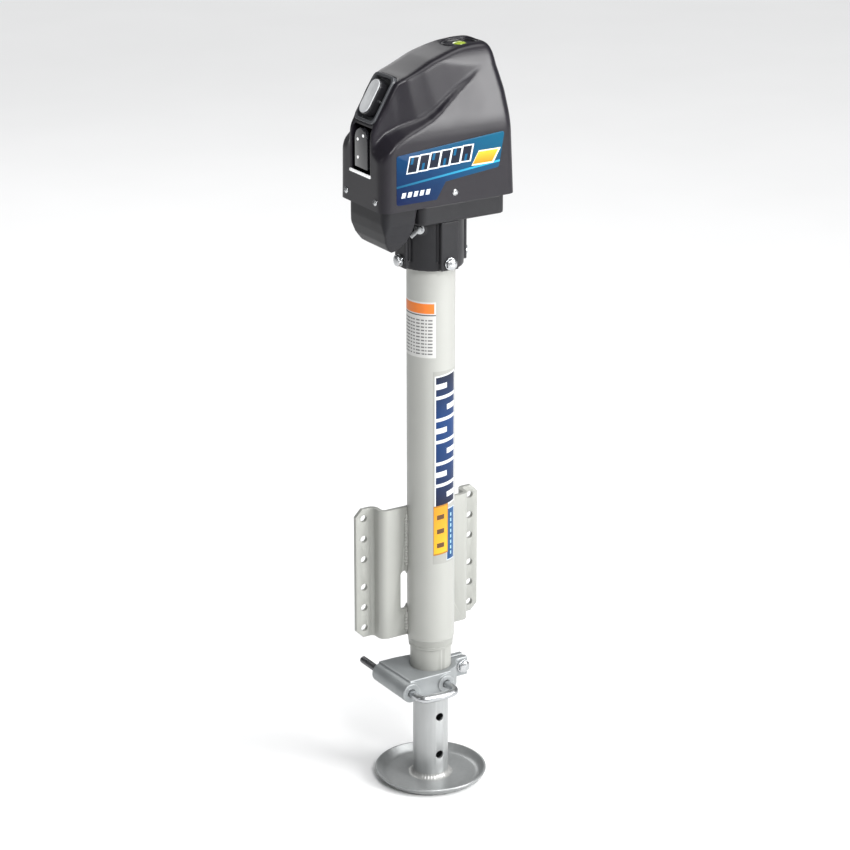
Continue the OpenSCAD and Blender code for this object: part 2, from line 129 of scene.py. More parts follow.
class Shade:
    """A material whose nodes all come from one method. x, y and z are in millimetres."""

    def __init__(self, name):
        self.material = bpy.data.materials.new(name)
        self.material.use_nodes = True
        self.tree = self.material.node_tree
        self.tree.nodes.clear()
        self.place = self.node("TexCoord", {}, {}, out="Object")
        self.x, self.y, self.z = (
            self.node("SeparateXYZ", {}, [self.place], out=axis) * 1000 for axis in "XYZ")

    def node(self, kind, settings, values, out=0):
        made = self.tree.nodes.new("ShaderNode" + kind)
        for key, setting in settings.items():
            if key != "stops":
                setattr(made, key, setting)
                continue
            ramp = made.color_ramp.elements
            for stop, (at, colour) in enumerate(setting):
                element = ramp[stop] if stop < 2 else ramp.new(at)
                element.position, element.color = at, (*colour, 1)
        for key, value in values.items() if isinstance(values, dict) else enumerate(values):
            if isinstance(value, Value):
                self.tree.links.new(value.socket, made.inputs[key])
            else:
                made.inputs[key].default_value = value
        return Value(self, made.outputs[out])

    def noise(self, scale, detail=3, stretch=(1, 1, 1)):
        vector = self.node("Mapping", {}, {"Vector": self.place, "Scale": stretch})
        return self.node("TexNoise", {}, {"Vector": vector, "Scale": scale, "Detail": detail})

    def mix(self, factor, first, second):
        first, second = ((*c, 1) if isinstance(c, tuple) else c for c in (first, second))
        return self.node("Mix", {"data_type": "RGBA"}, {0: factor, 6: first, 7: second}, out=2)

    def ramp(self, value, *stops):
        return self.node("ValToRGB", {"stops": stops}, [value])

    def edges(self, sharpness=16):
        """1 on the sharp outer edges of a smooth mesh, 0 on its flats."""
        bare = self.node("NewGeometry", {}, {}, out="Pointiness")
        return ((bare - 0.52) * sharpness).clamp()

    def bump(self, height, strength, distance, after=None):
        values = {"Height": height, "Strength": strength, "Distance": distance * MM}
        if after:
            values["Normal"] = after
        return self.node("Bump", {}, values)

    def finish(self, colour, rough, normal=None, **sockets):
        values = {"Base Color": (*colour, 1) if isinstance(colour, tuple) else colour,
                  "Roughness": rough}
        if normal:
            values["Normal"] = normal
        for key, value in sockets.items():
            values[key.replace("_", " ")] = value
        shader = self.node("BsdfPrincipled", {}, values)
        output = self.tree.nodes.new("ShaderNodeOutputMaterial")
        self.tree.links.new(shader.socket, output.inputs["Surface"])
        return self.material


# ---------------------------------------------------------------- finishes

def powder_coat():
    """Silver-grey powder coat with its fine pebbled skin, lighter along its sharp edges."""
    s = Shade("powder_coat")
    tone = s.noise(9, 4)
    colour = s.mix(tone, (0.27, 0.275, 0.255), (0.34, 0.345, 0.32))
    colour = s.mix(s.edges(10) * 0.35, colour, (0.55, 0.55, 0.53))
    rough = s.noise(40, 2) * 0.14 + 0.33
    skin = s.bump(s.noise(1400, 2), 0.22, 0.08)
    return s.finish(colour, rough, s.bump(s.noise(60, 3), 0.12, 0.25, skin), Metallic=0.1)


def cast_skin():
    """Blasted zinc casting: a dull grain, a slow change of tone and rubbed edges."""
    s = Shade("cast_skin")
    colour = s.mix(s.noise(35, 5), (0.22, 0.235, 0.24), (0.34, 0.355, 0.36))
    colour = s.mix(s.edges(9) * 0.6, colour, (0.86, 0.87, 0.87))
    grain = s.bump(s.noise(700, 4), 0.45, 0.16)
    return s.finish(colour, s.noise(120, 3) * 0.2 + 0.34, s.bump(s.noise(90, 3), 0.3, 0.4, grain),
                    Metallic=0.45)


def zinc_sheet(name, dark=0.0, drawn=(1, 1, 0.08)):
    """Zinc plate over drawn steel: streaks along the draw and spangle."""
    s = Shade(name)
    streak = s.noise(220, 4, drawn)
    cloud = s.noise(24, 4)
    colour = s.mix(streak * 0.5 + cloud * 0.5, (0.32 - dark, 0.33 - dark, 0.33 - dark),
                   (0.50 - dark, 0.51 - dark, 0.51 - dark))
    rough = streak * 0.22 + 0.27
    return s.finish(colour, rough, s.bump(streak, 0.25, 0.12), Metallic=0.6)


def bright_zinc():
    s = Shade("bright_zinc")
    cloud = s.noise(150, 4)
    colour = s.mix(cloud, (0.36, 0.37, 0.38), (0.60, 0.61, 0.62))
    return s.finish(colour, cloud * 0.2 + 0.16, s.bump(s.noise(500, 2), 0.2, 0.06), Metallic=1.0)


def plated_rod():
    """Bright plated bar, with the darker oiled thread of its tail."""
    s = Shade("plated_rod")
    cloud = s.noise(120, 4)
    colour = s.mix(cloud, (0.34, 0.35, 0.36), (0.60, 0.61, 0.62))
    colour = s.mix(s.y > 37.9, colour, (0.14, 0.14, 0.145))
    return s.finish(colour, cloud * 0.2 + 0.2, s.bump(s.noise(500, 2), 0.2, 0.06), Metallic=1.0)


def weld_bead():
    """Rippled weld bead, lighter where it was ground."""
    s = Shade("weld_bead")
    ripple = s.noise(260, 3)
    colour = s.mix(ripple, (0.30, 0.30, 0.29), (0.58, 0.58, 0.57))
    return s.finish(colour, 0.45, s.bump(ripple, 0.9, 0.5), Metallic=0.6)


def black_casting():
    """Satin black enamel over a casting."""
    s = Shade("black_casting")
    colour = s.mix(s.noise(26, 4), (0.009, 0.009, 0.011), (0.018, 0.018, 0.020))
    colour = s.mix(s.edges(8) * 0.35, colour, (0.07, 0.07, 0.074))
    skin = s.bump(s.noise(520, 3), 0.3, 0.1)
    return s.finish(colour, s.noise(60, 3) * 0.16 + 0.34, s.bump(s.noise(70, 2), 0.15, 0.3, skin),
                    Specular_IOR_Level=0.28)


def moulded_black(name, colour_low, colour_high, rough, grain=0.16, shine=0.5):
    """Moulded black plastic with a spark-eroded grain and faint handling marks."""
    s = Shade(name)
    colour = s.mix(s.noise(14, 4), colour_low, colour_high)
    colour = s.mix(s.edges(9) * 0.3, colour, (0.075, 0.072, 0.082))
    marks = s.noise(30, 5)
    skin = s.bump(s.noise(1900, 2), grain, 0.06)
    return s.finish(colour, marks * 0.13 + rough, skin, Specular_IOR_Level=shine)


def bronze_metal():
    s = Shade("bronze_metal")
    turned = s.noise(300, 3, (0.1, 0.1, 1))
    return s.finish(s.mix(turned, (0.42, 0.28, 0.10), (0.62, 0.44, 0.18)), 0.32,
                    s.bump(turned, 0.2, 0.1), Metallic=1.0)


def machined_metal():
    s = Shade("machined_metal")
    turned = s.noise(320, 3, (0.1, 0.1, 1))
    return s.finish(s.mix(turned, (0.24, 0.25, 0.26), (0.46, 0.47, 0.48)), turned * 0.2 + 0.22,
                    s.bump(turned, 0.2, 0.1), Metallic=1.0)


def milled_plate():
    s = Shade("milled_plate")
    cut = s.noise(260, 3, (0.06, 1, 1))
    return s.finish(s.mix(cut, (0.42, 0.43, 0.44), (0.62, 0.63, 0.64)), cut * 0.2 + 0.25,
                    s.bump(cut, 0.2, 0.1), Metallic=0.9)


def rubber_skin():
    s = Shade("rubber_skin")
    dust = s.noise(60, 4)
    return s.finish(s.mix(dust, (0.012, 0.012, 0.012), (0.035, 0.034, 0.033)), 0.7,
                    s.bump(s.noise(800, 2), 0.3, 0.1))


def light_cap():
    """Light grey rubbery cap, a little soiled in patches."""
    s = Shade("light_cap")
    soil = s.noise(90, 4)
    colour = s.mix(soil, (0.50, 0.51, 0.525), (0.66, 0.67, 0.68))
    return s.finish(colour, soil * 0.15 + 0.38, s.bump(s.noise(1200, 2), 0.2, 0.06))


def smoked_lens():
    s = Shade("smoked_lens")
    haze = s.noise(50, 3)
    return s.finish(s.mix(haze, (0.012, 0.012, 0.015), (0.022, 0.022, 0.027)), haze * 0.08 + 0.07,
                    Coat_Weight=0.6)


# White that glows of itself: lit lamps for the dots, and a painted highlight for the bar under the
# lens.
def lamp_white(name, glow):
    s = Shade(name)
    core = s.noise(300, 2)
    colour = s.mix(core, (0.86, 0.87, 0.88), (0.95, 0.95, 0.95))
    return s.finish(colour, 0.25, Emission_Color=colour, Emission_Strength=glow)


def board_lacquer():
    s = Shade("board_lacquer")
    trace = s.node("TexChecker", {}, {"Vector": s.place, "Scale": 500}, out="Fac")
    return s.finish(s.mix(trace, (0.01, 0.09, 0.03), (0.02, 0.14, 0.05)), 0.3)


def level_liquid():
    """Tinted liquid under a clear cap, with its bubble and ring."""
    s = Shade("level_liquid")
    low, high = size_of("level_vial")
    mid = (low + high) / 2
    dx, dy = s.x - mid.x, s.y - mid.y
    away = (dx * dx + dy * dy).math("SQRT")
    colour = s.mix(away * 0.1, (0.50, 0.62, 0.06), (0.22, 0.32, 0.02))
    colour = s.mix(away.within(3.6, 4.2), colour, (0.01, 0.012, 0.005))
    colour = s.mix(away < 2.4, colour, (0.72, 0.80, 0.35))
    return s.finish(colour, 0.08, Coat_Weight=1.0)


def slanted(along, up, low, high, lean, bottom, top):
    """A bar from low to high along one way, leaning with height, between bottom and top."""
    shifted = along - (up - bottom) * lean
    return shifted.within(low, high) * up.within(bottom, top)


def side_film():
    """Printed film of the head: a blue fade, a light stripe and slanted bars, with no lettering."""
    s = Shade("side_film")
    x, z = s.x, s.z
    fade = ((x + 76) / 150).clamp()
    cloud = s.noise(22, 3)
    depth = (fade * 0.7 + (z - 765) / 120 + cloud * 0.4 - 0.2).clamp()
    colour = s.ramp(depth, (0.0, (0.0, 0.008, 0.050)), (0.45, (0.0, 0.038, 0.110)),
                    (1.0, (0.0, 0.078, 0.150)))
    stripe_z = 770 + fade * 14
    stripe = (z - stripe_z).within(0, 2.4)
    colour = s.mix(stripe * (0.15 + fade * 0.85), colour, (0.03, 0.36, 0.58))
    for bar in range(6):
        start, foot = -62 + bar * 14.2, 786.5 + bar * 0.7
        rim = slanted(x, z, start - 1.5, start + 13.5, 0.22, foot - 1.5, foot + 18.5)
        body = slanted(x, z, start + 0.2, start + 11.8, 0.22, foot, foot + 17)
        colour = s.mix(rim, colour, (0.62, 0.65, 0.68))
        colour = s.mix(body, colour, (0.006, 0.010, 0.022))
        low, high = (foot, foot + 8) if bar % 2 else (foot + 9, foot + 17)
        notch = slanted(x, z, start + 4.2, start + 7.4, 0.22, low, high)
        colour = s.mix(notch, colour, (0.0, 0.08, 0.18))
    amber_rim = slanted(x, z, 23.5, 53, 0.6, 783, 799.5)
    amber = slanted(x, z, 25, 51.5, 0.6, 784.5, 798)
    colour = s.mix(amber_rim, colour, (0.85, 0.78, 0.50))
    glow = s.mix(((z - 784) / 14).clamp(), (0.60, 0.19, 0.01), (0.72, 0.42, 0.03))
    colour = s.mix(amber, colour, glow)
    for bar in range(5):
        start = -70 + bar * 8
        colour = s.mix(slanted(x, z, start, start + 5, 0.3, 758, 764), colour, (0.62, 0.66, 0.70))
    return s.finish(colour, s.noise(60, 3) * 0.1 + 0.3, Specular_IOR_Level=0.16)


def tube_turn(s):
    """How far round the tube a point lies, in degrees from +X."""
    return s.y.math("ARCTAN2", s.x) * (360 / TURN)


def strip_film():
    """Printed strip down the tube: a blue band beside leaning dark bars and an amber block."""
    s = Shade("strip_film")
    turn, z = tube_turn(s), s.z
    across = (turn + 117) / 72
    colour = s.mix(s.noise(9, 4), (0.28, 0.285, 0.265), (0.35, 0.355, 0.33))
    lean = z - across * 4
    tone = s.ramp(((z - 360) / 170).clamp(), (0.0, (0.004, 0.004, 0.016)), (0.35, (0.0, 0.022, 0.095)),
                  (0.65, (0.0, 0.030, 0.125)), (1.0, (0.003, 0.007, 0.025)))
    for bar in range(6):
        start = 366 + bar * 27.5
        rim = lean.within(start - 1.8, start + 25.2) * across.within(0.06, 0.94)
        body = lean.within(start, start + 23.4) * across.within(0.10, 0.90)
        half = (0.10, 0.5) if bar % 2 else (0.5, 0.90)
        notch = lean.within(start + 8.4, start + 15) * across.within(*half)
        colour = s.mix(rim, colour, (0.60, 0.62, 0.64))
        colour = s.mix(body, colour, tone)
        colour = s.mix(notch, colour, (0.60, 0.62, 0.64))
    colour = s.mix(z.within(294.6, 361.4) * across.within(0.515, 0.915), colour, (0.55, 0.62, 0.70))
    blue = s.mix(s.noise(45, 2), (0.0, 0.025, 0.11), (0.0, 0.085, 0.22))
    colour = s.mix(z.within(295.5, 360.5) * across.within(0.53, 0.90), colour, blue)
    dashes = (z / 7).math("FRACT") < 0.6
    colour = s.mix(z.within(301, 356) * across.within(0.68, 0.74) * dashes, colour, (0.30, 0.50, 0.62))
    colour = s.mix(lean.within(303, 366) * across.within(0.02, 0.56), colour, (0.35, 0.16, 0.02))
    amber = s.mix(((z - 306) / 55).clamp(), (0.70, 0.38, 0.02), (0.62, 0.26, 0.015))
    colour = s.mix(lean.within(305, 364) * across.within(0.04, 0.53), colour, amber)
    for bar in range(3):
        start = 312 + bar * 18
        mark = lean.within(start, start + 6) * across.within(0.14, 0.40)
        colour = s.mix(mark, colour, (0.10, 0.05, 0.02))
    return s.finish(colour, s.noise(60, 3) * 0.1 + 0.28, Specular_IOR_Level=0.3)


def label_film():
    """White paper-faced film with an orange band and grey rules in place of writing."""
    s = Shade("label_film")
    turn, z = tube_turn(s), s.z
    across = (turn + 360 - 150).math("MODULO", 360.0)
    colour = s.mix(s.noise(40, 3), (0.52, 0.52, 0.505), (0.58, 0.58, 0.565))
    colour = s.mix(z.within(606, 618) * across.within(4, 96), colour, (0.70, 0.17, 0.015))
    rows = ((z - 556) / 4.1).math("FRACT")
    ink = (rows < 0.42) * z.within(556, 601) * across.within(8, 92)
    ragged = s.noise(420, 1, (1, 1, 0.02)) > 0.42
    colour = s.mix(ink * ragged, colour, (0.14, 0.14, 0.14))
    colour = s.mix(((z - 604) * (z - 604) < 0.5), colour, (0.05, 0.05, 0.05))
    return s.finish(colour, s.noise(80, 3) * 0.1 + 0.4)


FINISH = {
    "powder_silver": powder_coat(),
    "cast_zinc": cast_skin(),
    "galvanised_leg": zinc_sheet("zinc_leg"),
    "foot_steel": zinc_sheet("zinc_foot", dark=0.07, drawn=(1, 1, 1)),
    "weld": weld_bead(),
    "zinc_fastener": bright_zinc(),
    "zinc_rod": plated_rod(),
    "spring_steel": zinc_sheet("spring_steel", dark=0.15),
    "bronze": bronze_metal(),
    "machined_steel": machined_metal(),
    "neck_black": black_casting(),
    "housing_black": moulded_black("housing_plastic", (0.007, 0.007, 0.009), (0.012, 0.012, 0.015),
                                   0.38, shine=0.28),
    "cover_black": moulded_black("cover_plastic", (0.007, 0.006, 0.009), (0.012, 0.010, 0.015),
                                 0.25, shine=0.36),
    "lid_metal": milled_plate(),
    "motor_black": moulded_black("motor_enamel", (0.03, 0.03, 0.032), (0.05, 0.05, 0.053), 0.25),
    "rubber_black": rubber_skin(),
    "bezel_grey": moulded_black("bezel_plastic", (0.050, 0.052, 0.057), (0.080, 0.083, 0.090), 0.24),
    "switch_black": moulded_black("switch_plastic", (0.010, 0.010, 0.012), (0.018, 0.018, 0.020),
                                  0.22, grain=0.1),
    "cap_grey": light_cap(),
    "lens_smoke": smoked_lens(),
    "board_green": board_lacquer(),
    "led_white": lamp_white("lamp_dot", 0.4),
    # bar_white glows faintly as a painted highlight: the light caught on the ledge under the lens.
    "bar_white": lamp_white("painted_highlight_bar", 0.25),
    "vial_green": level_liquid(),
    "decal_blue": side_film(),
    "label_white": label_film(),
}
FINISH["base_black"] = FINISH["neck_black"]
STRIP_FILM = strip_film()


# ---------------------------------------------------------------- modelling by hand

def activate(obj):
    """Leaves edit mode and makes an object the only one selected."""
    if bpy.context.object and bpy.context.object.mode != "OBJECT":
        bpy.ops.object.mode_set(mode="OBJECT")
    bpy.ops.object.select_all(action="DESELECT")
    obj.select_set(True)
    bpy.context.view_layer.objects.active = obj


def added(name, operator, **settings):
    """Adds a primitive, alone in the selection, with its place kept in its mesh."""
    if bpy.context.object and bpy.context.object.mode != "OBJECT":
        bpy.ops.object.mode_set(mode="OBJECT")
    bpy.ops.object.select_all(action="DESELECT")
    operator(**settings)
    obj = bpy.context.object
    obj.name = obj.data.name = name
    bpy.ops.object.transform_apply(location=True, rotation=True, scale=True)
    return obj


def select(obj, kind, test):
    """Selects an object's faces or corners by a test on their place and normal, in edit mode."""
    activate(obj)
    bpy.ops.object.mode_set(mode="EDIT")
    bpy.ops.mesh.select_mode(type=kind)
    bpy.ops.mesh.select_all(action="DESELECT")
    bpy.ops.object.mode_set(mode="OBJECT")
    if kind == "FACE":
        for face in obj.data.polygons:
            face.select = test(face.center / MM, face.normal)
    else:
        for corner in obj.data.vertices:
            corner.select = test(corner.co / MM, corner.normal)
    bpy.ops.object.mode_set(mode="EDIT")


def modify(obj, kind, **settings):
    """Applies one modifier."""
    activate(obj)
    modifier = obj.modifiers.new(kind, kind)
    for key, value in settings.items():
        setattr(modifier, key, value)
    bpy.ops.object.modifier_apply(modifier=modifier.name)
    return obj


def combine(obj, other, operation):
    """Adds or takes away another object, which is then gone."""
    modify(obj, "BOOLEAN", object=other, operation=operation, solver="EXACT")
    bpy.data.objects.remove(other)
    return obj


def cut(obj, *cutters):
    for cutter in cutters:
        combine(obj, cutter, "DIFFERENCE")
    return obj


def bevelled(obj, width, segments=2, angle=35):
    """Bevels the edges sharper than an angle."""
    return modify(obj, "BEVEL", width=width * MM, segments=segments, limit_method="ANGLE",
                  angle_limit=math.radians(angle), harden_normals=False)


def softened(obj, voxel, rounds):
    """Rebuilds a shape as one even skin and rounds all its edges, as a casting or moulding has."""
    modify(obj, "REMESH", mode="VOXEL", voxel_size=voxel * MM)
    return modify(obj, "SMOOTH", factor=0.5, iterations=rounds)


def block(name, low, high):
    """A box between two corners."""
    low, high = Vector(low), Vector(high)
    return added(name, bpy.ops.mesh.primitive_cube_add, size=1, location=(low + high) / 2 * MM,
                 scale=(high - low) * MM)


def turned(axis):
    """Rotation that turns +Z to an axis."""
    return Vector((0, 0, 1)).rotation_difference(Vector(axis)).to_euler()


def drum(name, start, axis, radius, length, sides=64):
    """A cylinder from a start point along an axis."""
    axis = Vector(axis).normalized()
    middle = Vector(start) + axis * length / 2
    return added(name, bpy.ops.mesh.primitive_cylinder_add, vertices=sides, radius=radius * MM,
                 depth=length * MM, location=middle * MM, rotation=turned(axis))


def wrapped(name, across, along, place, closed=True):
    """A grid primitive bent to a surface: place(u, v) gives each corner, and open ends are filled."""
    obj = added(name, bpy.ops.mesh.primitive_grid_add, x_subdivisions=across, y_subdivisions=along,
                size=1)
    for corner in obj.data.vertices:
        corner.co = Vector(place(corner.co.x + 0.5, corner.co.y + 0.5)) * MM
    activate(obj)
    bpy.ops.object.mode_set(mode="EDIT")
    bpy.ops.mesh.select_all(action="SELECT")
    bpy.ops.mesh.remove_doubles(threshold=0.002 * MM)
    if closed:
        bpy.ops.mesh.fill_holes(sides=0)
    bpy.ops.mesh.select_all(action="SELECT")
    bpy.ops.mesh.normals_make_consistent(inside=False)
    bpy.ops.object.mode_set(mode="OBJECT")
    return obj


def lathe(name, outline, sides=96):
    """Spins a closed outline of (radius, height) points round the tube's axis."""
    points = [*outline, outline[0]]

    def place(u, v):
        radius, height = points[round(v * (len(points) - 1))]
        return radius * math.cos(u * TURN), radius * math.sin(u * TURN), height

    return wrapped(name, sides, len(points) - 1, place, closed=False)


def arc(cx, cy, radius, start, end, steps=6):
    """Points of an arc, in degrees from start to end."""
    turns = (math.radians(start + (end - start) * i / steps) for i in range(steps + 1))
    return [(cx + radius * math.cos(t), cy + radius * math.sin(t)) for t in turns]


def extruded(name, outline, push, upright):
    """Pushes a flat outline: a circle primitive with a corner for each point, then one extrude.
    upright(a, b) puts an outline's point in space."""
    obj = added(name, bpy.ops.mesh.primitive_circle_add, vertices=len(outline), radius=1,
                fill_type="NGON")
    for corner, point in zip(obj.data.vertices, outline):
        corner.co = Vector(upright(*point)) * MM
    activate(obj)
    bpy.ops.object.mode_set(mode="EDIT")
    bpy.ops.mesh.select_all(action="SELECT")
    bpy.ops.mesh.extrude_region_move(TRANSFORM_OT_translate={"value": Vector(push) * MM})
    bpy.ops.mesh.select_all(action="SELECT")
    bpy.ops.mesh.normals_make_consistent(inside=False)
    bpy.ops.object.mode_set(mode="OBJECT")
    return obj


def copied(node):
    """A merged copy of a CAD node's mesh, as a start for a finer piece."""
    obj = frame["nodes"][node].copy()
    obj.data = obj.data.copy()
    obj.parent = None
    for key in list(obj.keys()):
        del obj[key]
    bpy.context.scene.collection.objects.link(obj)
    activate(obj)
    bpy.ops.object.mode_set(mode="EDIT")
    bpy.ops.mesh.select_all(action="SELECT")
    bpy.ops.mesh.remove_doubles(threshold=0.005 * MM)
    bpy.ops.object.mode_set(mode="OBJECT")
    return obj


def fitted(obj, node, smooth_angle=40, finish=None, bend=None):
    """Hangs a finished piece on its node's body, in its node's finish. When bend is given, the
    piece is hung on no body and its place is baked into its mesh; the bodies and points in bend are not
    used."""
    slots = {part["node"]: part["material_slot"] for part in frame["record"]["subparts"]}
    bodies = frame["record"]["behaviour"]["bodies"]
    activate(obj)
    bpy.ops.object.shade_smooth_by_angle(angle=math.radians(smooth_angle))
    obj.data.materials.clear()
    obj.data.materials.append(finish or FINISH[slots[node]])
    obj.name = obj.data.name = node + "_form"
    if bend:
        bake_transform(obj)
    else:
        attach(obj, next(body for body, nodes in bodies.items() if node in nodes))
    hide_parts(node)
    return obj


def moved(obj, by):
    obj.data.transform(Matrix.Translation(Vector(by) * MM))
    return obj


def joined(first, *others):
    activate(first)
    for other in others:
        other.select_set(True)
    bpy.ops.object.join()
    return first


# ---------------------------------------------------------------- head

# Height, front, back, half width and corner radius of the cover, from its rim to its crown
COVER = [(742, -94, 86, 49, 11), (760, -94, 85.6, 49, 12), (800, -94, 84, 49, 13),
         (820, -94, 83.2, 48.6, 13), (831, -93.4, 82.4, 47.3, 13), (838, -89.4, 81.8, 46, 13),
         (862, -75, 79, 40.5, 13), (884, -61.8, 73, 36, 12), (888, -54, 71.8, 35, 12),
         (891.5, -44, 71, 34.2, 12), (896, -34, 70, 33, 11), (905, -15, 67.8, 30, 9),
         (911, 4, 65.2, 27.5, 8), (914.5, 18, 63, 25.5, 8), (917, 36, 59.5, 22, 8)]
COVER_TOP = COVER[-1][0]
PANEL_TILT = 59
PANEL_AT = (-75, 0, 862)
LEVEL_X = 38


def ring_point(u, front, back, half, radius):
    """A point at u, from 0 to 1, round a rectangle with rounded corners. Each quarter of the way
    round ends one straight, turns a corner and starts the next."""
    quarter, way = divmod(u * 4, 1)
    quarter = int(quarter) % 4
    x = back - radius if quarter in (0, 3) else front + radius
    y = half - radius if quarter < 2 else -half + radius
    straights = (half - radius, (back - front) / 2 - radius)
    faces = ((1, 0), (0, 1), (-1, 0), (0, -1), (1, 0))
    if way < 0.3:
        out_x, out_y = faces[quarter]
        run = straights[quarter % 2] * (1 - way / 0.3)
        return x + radius * out_x + out_y * run, y + radius * out_y - out_x * run
    if way < 0.7:
        turn = math.radians(90 * quarter + 90 * (way - 0.3) / 0.4)
        return x + radius * math.cos(turn), y + radius * math.sin(turn)
    out_x, out_y = faces[quarter + 1]
    run = (way - 0.7) / 0.3 * straights[(quarter + 1) % 2]
    return x + radius * out_x - out_y * run, y + radius * out_y + out_x * run


def cover_section(height, inset=0.0):
    """Front, back, half width and radius of the cover at a height, less an inset all round."""
    height = min(height, COVER_TOP)
    low, high = next(pair for pair in zip(COVER, COVER[1:]) if height <= pair[1][0])
    share = (height - low[0]) / (high[0] - low[0])
    front, back, half, radius = (a + (b - a) * share for a, b in zip(low[1:], high[1:]))
    return front + inset, back - inset, half - inset, max(radius - inset, 4)


def cover_loft(name, bottom, top, inset, levels):
    """The cover's outline carried up through its stations, closer together towards the crown."""
    def place(u, v):
        height = bottom + (top - bottom) * (1 - (1 - v) ** 1.7)
        return (*ring_point(u % 1, *cover_section(height, inset)), height)

    return wrapped(name, 96, levels, place)


def crease_cutter(side):
    """What is taken off beside the hood, above the crease that sweeps from the shoulder to the
    crown. walls are points along X: the hood's half width there, and the fall of the shoulder."""
    walls = [(-112, 25, 17), (-94, 25, 17), (-78, 27, 16), (-62, 30, 14), (-40, 34.3, 11),
             (-15, 35.5, 7), (3, 35, 5), (26, 34.7, 4), (40, 34, 3), (52, 33.5, 2)]
    crease = [(-112, 795), (-96, 801), (-92.5, 811), (-87, 820), (-78, 828), (-62, 835),
              (-40, 840.5), (-27, 844.5), (-15, 850.5), (3, 863.5), (14, 871), (26, 878.5),
              (40, 887.5), (52, 894)]
    top = 940
    crease += [(x, top) for x, z in reversed(crease)]
    cutter = extruded("cutter", crease, (0, -40, 0), lambda a, b: (a, 0, b))
    for corner in cutter.data.vertices:
        x, y, z = corner.co / MM
        for (x0, y0, drop0), (x1, y1, drop1) in zip(walls, walls[1:]):
            if x0 - 0.1 <= x <= x1 + 0.1:
                share = (x - x0) / (x1 - x0)
                wall, drop = y0 + (y1 - y0) * share, drop0 + (drop1 - drop0) * share
        if abs(y) < 20:
            y = -26.8 - x * 0.052 if z > top - 10 else -wall
        else:
            y = -60
            z -= drop if z < top - 10 else 0
        corner.co = Vector((x, y, z)) * MM
    modify(cutter, "TRIANGULATE")
    if side > 0:
        cutter.data.transform(Matrix.Scale(-1, 4, (0, 1, 0)))
        cutter.data.flip_normals()
    return cutter


def on_panel(obj):
    """Lays a piece made flat about the origin on the sloping switch panel."""
    turn = Matrix.Rotation(math.radians(-PANEL_TILT), 4, "Y")
    obj.data.transform(Matrix.Translation(Vector(PANEL_AT) * MM) @ turn)
    return obj


def slab(name, length, width, radius, low, high):
    """A flat piece with rounded corners, long way along X."""
    outline = [point for i, (x, y) in enumerate([(1, 1), (-1, 1), (-1, -1), (1, -1)])
               for point in arc(x * (length / 2 - radius), y * (width / 2 - radius), radius,
                                90 * i, 90 * i + 90, 8)]
    return extruded(name, outline, (0, 0, high - low), lambda a, b: (a, b, low))


def arched(name, half, foot, shoulder, front, back):
    """A plate on the head's front with a round top, from front to back along X."""
    outline = [(half, foot), *arc(0, shoulder, half, 0, 180, 16), (-half, foot)]
    return extruded(name, outline, (back - front, 0, 0), lambda a, b: (front, a, b))


def head_cover():
    """Moulded cover: lofted, creased, rounded as one skin, then opened and hollowed."""
    cover = cover_loft("head_cover", COVER[0][0] - 14, COVER_TOP, 0, 64)
    cut(cover, crease_cutter(1), crease_cutter(-1))
    softened(cover, 1.7, 12)
    front = COVER[0][1]
    recess = bevelled(arched("recess", 20.5, 780, 832, front - 12, front + 5.5), 1.2)
    lens_hole = arched("lens_hole", 14, 785, 818, front - 12, front + 12)
    pocket = on_panel(moved(bevelled(slab("pocket", 58, 42, 7, -9, 20), 1.0), (2, 0, 0)))
    tray = moved(slab("tray", 44, 32, 15.9, 0, 20), (LEVEL_X, 0, COVER_TOP - 3.5))
    cut(cover, recess, lens_hole, pocket, bevelled(tray, 1.0))
    softened(cover, 1.25, 2)
    trim = block("trim", (-130, -80, COVER[0][0] - 30), (130, 80, COVER[0][0] + 0.2))
    cut(cover, trim)
    inside = cover_loft("inside", COVER[0][0] - 4, COVER_TOP - 10, 3.2, 40)
    cut(inside, *(moved(crease_cutter(side), (0, -side * 4, -4)) for side in (1, -1)))
    cut(cover, inside)
    fitted(cover, "head_cover", 50)


def switch_panel():
    """Bezel, rocker button and its soft cap, each made flat and laid on the sloping panel."""
    bezel = slab("switch_bezel", 59, 43, 7.5, -9, 2.2)
    cut(bezel, slab("opening", 51.5, 36.5, 5.5, -6.8, 10))
    fitted(bevelled(on_panel(moved(bezel, (2, 0, 0))), 0.9, 3), "switch_bezel")
    button = bevelled(slab("rocker_button", 43, 20.5, 10.1, -4, 7.4), 1.2, 3)
    fitted(on_panel(moved(button, (1.5, 0, 0))), "rocker_button")
    cap = slab("rocker_cap", 41, 18.5, 9.2, 7.2, 8.8)
    select(cap, "FACE", lambda at, normal: normal.z > 0.9)
    bpy.ops.mesh.inset(thickness=1.4 * MM)
    bpy.ops.transform.translate(value=(0, 0, -0.35 * MM))
    bpy.ops.object.mode_set(mode="OBJECT")
    fitted(bevelled(on_panel(moved(cap, (1.5, 0, 0))), 0.35, 2), "rocker_cap")


